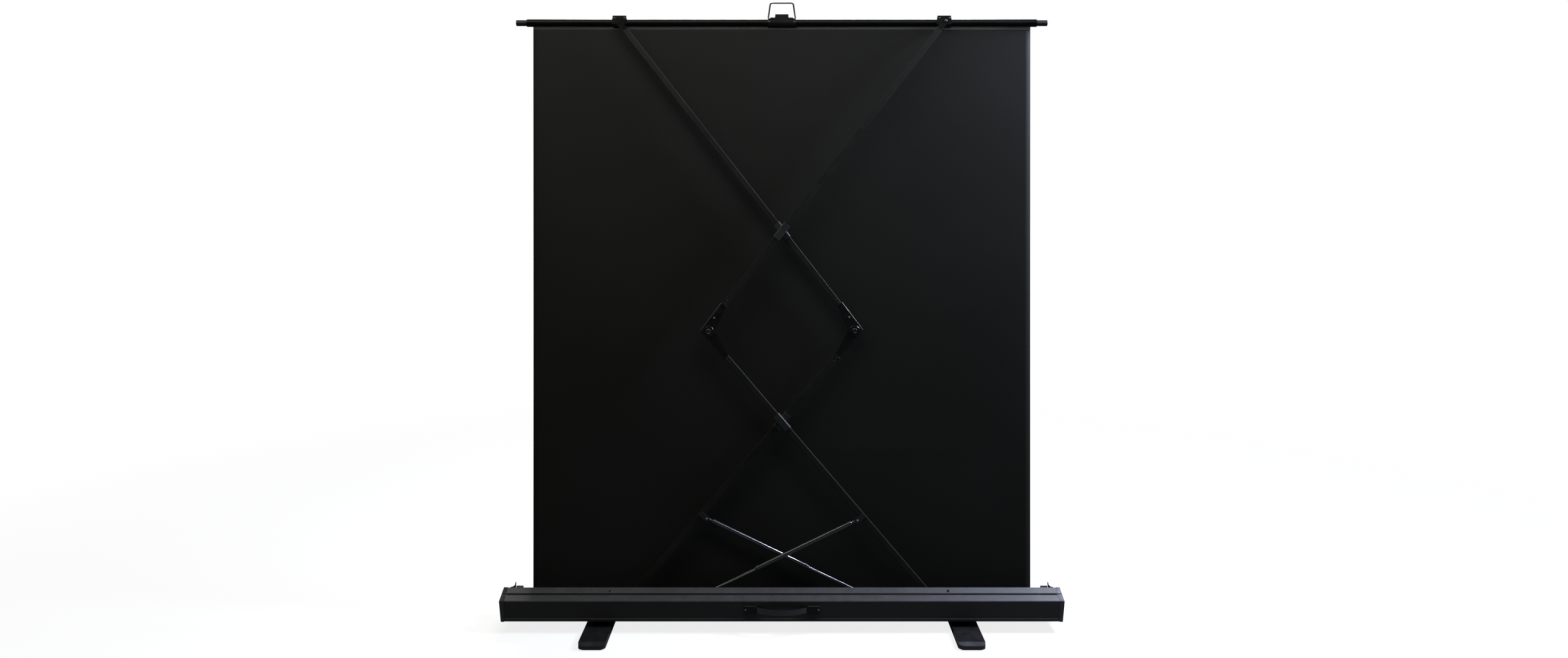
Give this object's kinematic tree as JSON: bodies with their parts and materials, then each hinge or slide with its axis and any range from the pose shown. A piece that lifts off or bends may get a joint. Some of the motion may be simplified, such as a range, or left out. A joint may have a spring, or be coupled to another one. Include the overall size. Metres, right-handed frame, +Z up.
{
  "type": "pull up projection screen",
  "caption": "Floor-standing pull-up projection screen with crossed knee arms and gas struts behind the cloth, a long roller case, swivel feet, end catches and a wire bail on the top bar.",
  "frame": {"origin": "on the floor, at the middle of the case's length and depth", "axes": "+X along the case to the right as seen from behind, +Y out of the viewing side, +Z up"},
  "size_m": [2.025, 0.464, 2.281],
  "materials": {
    "case_black": "satin black paint",
    "cap_plastic": "moulded black",
    "arm_black": "satin black",
    "fitting_black": "black",
    "bar_gloss": "gloss black",
    "plug_black": "black",
    "wire_steel": "black",
    "cloth": "matte charcoal back, white front with black borders",
    "bare_steel": "plain",
    "strut_black": "gloss black",
    "strut_rod": "polished",
    "slider_nylon": "black",
    "roller_alloy": "plain",
    "foot_black": "satin black",
    "sole_rubber": "black",
    "handle_black": "black"
  },
  "bodies": {
    "case": {"case_body": "case_black", "end_cap_left": "cap_plastic", "end_cap_right": "cap_plastic", "roller_bracket_left": "bare_steel", "roller_bracket_right": "bare_steel", "slide_rail_a": "bare_steel", "slide_rail_b": "bare_steel", "strut_anchor_a": "bare_steel", "strut_anchor_b": "bare_steel", "carry_handle": "handle_black", "handle_mount_left": "handle_black", "handle_mount_right": "handle_black", "foot_bolt_left": "bare_steel", "foot_bolt_right": "bare_steel", "screen_cloth": "cloth"},
    "roller": {"roller_tube": "roller_alloy", "cloth_wraps": "cloth", "roller_plug_left": "plug_black", "roller_plug_right": "plug_black", "spring_cartridge": "bare_steel"},
    "bar": {"top_bar": "bar_gloss", "bar_plug_left": "plug_black", "bar_plug_right": "plug_black", "bar_clamp_left": "fitting_black", "bar_clamp_right": "fitting_black", "bail_bracket": "fitting_black"},
    "bail": {"wire_bail": "wire_steel"},
    "catch_left": {"catch_left": "fitting_black"},
    "catch_right": {"catch_right": "fitting_black"},
    "foot_left": {"foot_left": "foot_black", "foot_sole_left": "sole_rubber"},
    "foot_right": {"foot_right": "foot_black", "foot_sole_right": "sole_rubber"},
    "shoe_a": {"slide_shoe_a": "slider_nylon"},
    "lower_arm_a": {"lower_arm_a": "arm_black", "base_tongue_a": "fitting_black", "elbow_tongue_a": "fitting_black", "strut_tab_a": "fitting_black"},
    "upper_arm_a": {"upper_arm_a": "arm_black", "elbow_fork_a": "fitting_black", "top_tongue_a": "fitting_black", "elbow_pin_a": "bare_steel"},
    "lower_sleeve_a": {"lower_sleeve_a": "slider_nylon"},
    "upper_sleeve_a": {"upper_sleeve_a": "slider_nylon"},
    "strut_cylinder_a": {"strut_cylinder_a": "strut_black"},
    "strut_rod_a": {"strut_rod_a": "strut_rod"},
    "shoe_b": {"slide_shoe_b": "slider_nylon"},
    "lower_arm_b": {"lower_arm_b": "arm_black", "base_tongue_b": "fitting_black", "elbow_tongue_b": "fitting_black", "strut_tab_b": "fitting_black"},
    "upper_arm_b": {"upper_arm_b": "arm_black", "elbow_fork_b": "fitting_black", "top_tongue_b": "fitting_black", "elbow_pin_b": "bare_steel"},
    "lower_sleeve_b": {"lower_sleeve_b": "slider_nylon"},
    "upper_sleeve_b": {"upper_sleeve_b": "slider_nylon"},
    "strut_cylinder_b": {"strut_cylinder_b": "strut_black"},
    "strut_rod_b": {"strut_rod_b": "strut_rod"}
  },
  "joints": [
    {"name": "shoe_slide_a", "type": "slide", "parent": "case", "child": "shoe_a", "axis": [1, 0, 0], "range_m": [0, 0.09853]},
    {"name": "fold", "type": "hinge", "parent": "shoe_a", "child": "lower_arm_a", "pos_m": [-0.56739, 0.003, 0.0805], "axis": [0, 1, 0], "range_deg": [0, 49.4], "deforming": ["screen_cloth"]},
    {"name": "elbow_hinge_a", "type": "hinge", "parent": "lower_arm_a", "child": "upper_arm_a", "pos_m": [0.26697, 0.003, 1.07247], "axis": [0, 1, 0], "range_deg": [-100.41, 0]},
    {"name": "lower_sleeve_slide_a", "type": "slide", "parent": "lower_arm_a", "child": "lower_sleeve_a", "axis": [0.6507, 0, 0.7593], "range_m": [-0.40304, 0]},
    {"name": "upper_sleeve_slide_a", "type": "slide", "parent": "upper_arm_a", "child": "upper_sleeve_a", "axis": [-0.6147, 0, 0.7888], "range_m": [0, 0.37478]},
    {"name": "strut_hinge_a", "type": "hinge", "parent": "lower_arm_a", "child": "strut_cylinder_a", "pos_m": [-0.27493, 0.003, 0.38563], "axis": [0, 1, 0], "range_deg": [-75.1, 0]},
    {"name": "strut_stroke_a", "type": "slide", "parent": "strut_cylinder_a", "child": "strut_rod_a", "axis": [0.9011, 0, -0.4336], "range_m": [-0.30302, 0]},
    {"name": "shoe_slide_b", "type": "slide", "parent": "case", "child": "shoe_b", "axis": [-1, 0, 0], "range_m": [0, 0.09853]},
    {"name": "base_hinge_b", "type": "hinge", "parent": "shoe_b", "child": "lower_arm_b", "pos_m": [0.56739, -0.019, 0.0805], "axis": [0, -1, 0], "range_deg": [0, 49.4]},
    {"name": "elbow_hinge_b", "type": "hinge", "parent": "lower_arm_b", "child": "upper_arm_b", "pos_m": [-0.26697, -0.019, 1.07247], "axis": [0, -1, 0], "range_deg": [-100.41, 0]},
    {"name": "lower_sleeve_slide_b", "type": "slide", "parent": "lower_arm_b", "child": "lower_sleeve_b", "axis": [-0.6507, 0, 0.7593], "range_m": [-0.40304, 0]},
    {"name": "upper_sleeve_slide_b", "type": "slide", "parent": "upper_arm_b", "child": "upper_sleeve_b", "axis": [0.6147, 0, 0.7888], "range_m": [0, 0.37478]},
    {"name": "strut_hinge_b", "type": "hinge", "parent": "lower_arm_b", "child": "strut_cylinder_b", "pos_m": [0.27493, -0.019, 0.38563], "axis": [0, -1, 0], "range_deg": [-75.1, 0]},
    {"name": "strut_stroke_b", "type": "slide", "parent": "strut_cylinder_b", "child": "strut_rod_b", "axis": [-0.9011, 0, -0.4336], "range_m": [-0.30302, 0]},
    {"name": "bar_hinge", "type": "hinge", "parent": "upper_arm_a", "child": "bar", "pos_m": [-0.59799, 0.003, 2.206], "axis": [0, 1, 0], "range_deg": [0, 51.01]},
    {"name": "roller_spin", "type": "hinge", "parent": "case", "child": "roller", "pos_m": [0, 0.054, 0.078], "axis": [1, 0, 0], "range_deg": [0, 5760]},
    {"name": "bail_hinge", "type": "hinge", "parent": "bar", "child": "bail", "pos_m": [0, 0.021, 2.22], "axis": [1, 0, 0], "range_deg": [-50, 85]},
    {"name": "catch_hinge_left", "type": "hinge", "parent": "case", "child": "catch_left", "pos_m": [-0.9945, 0.035, 0.091], "axis": [0, -1, 0], "range_deg": [0, 8], "stiffness_Nm_per_rad": 0.2},
    {"name": "foot_swivel_left", "type": "hinge", "parent": "case", "child": "foot_left", "pos_m": [-0.65746, 0, 0.043], "axis": [0, 0, 1], "range_deg": [0, 90]},
    {"name": "catch_hinge_right", "type": "hinge", "parent": "case", "child": "catch_right", "pos_m": [0.9945, 0.035, 0.091], "axis": [0, 1, 0], "range_deg": [0, 8], "stiffness_Nm_per_rad": 0.2},
    {"name": "foot_swivel_right", "type": "hinge", "parent": "case", "child": "foot_right", "pos_m": [0.65746, 0, 0.043], "axis": [0, 0, 1], "range_deg": [0, 90]}
  ],
  "couplings": [
    {"joint": "shoe_slide_a", "follows": "fold", "m_per_rad": 0.11424},
    {"joint": "elbow_hinge_a", "follows": "fold", "ratio": -2.0325},
    {"joint": "lower_sleeve_slide_a", "follows": "fold", "m_per_rad": -0.46741},
    {"joint": "upper_sleeve_slide_a", "follows": "fold", "m_per_rad": 0.43463},
    {"joint": "strut_hinge_a", "follows": "fold", "ratio": -1.5201},
    {"joint": "strut_stroke_a", "follows": "fold", "m_per_rad": -0.35141},
    {"joint": "shoe_slide_b", "follows": "fold", "m_per_rad": 0.11424},
    {"joint": "base_hinge_b", "follows": "fold", "ratio": 1},
    {"joint": "elbow_hinge_b", "follows": "fold", "ratio": -2.0325},
    {"joint": "lower_sleeve_slide_b", "follows": "fold", "m_per_rad": -0.46741},
    {"joint": "upper_sleeve_slide_b", "follows": "fold", "m_per_rad": 0.43463},
    {"joint": "strut_hinge_b", "follows": "fold", "ratio": -1.5201},
    {"joint": "strut_stroke_b", "follows": "fold", "m_per_rad": -0.35141},
    {"joint": "bar_hinge", "follows": "fold", "ratio": 1.0325},
    {"joint": "roller_spin", "follows": "fold", "ratio": 116.58}
  ]
}
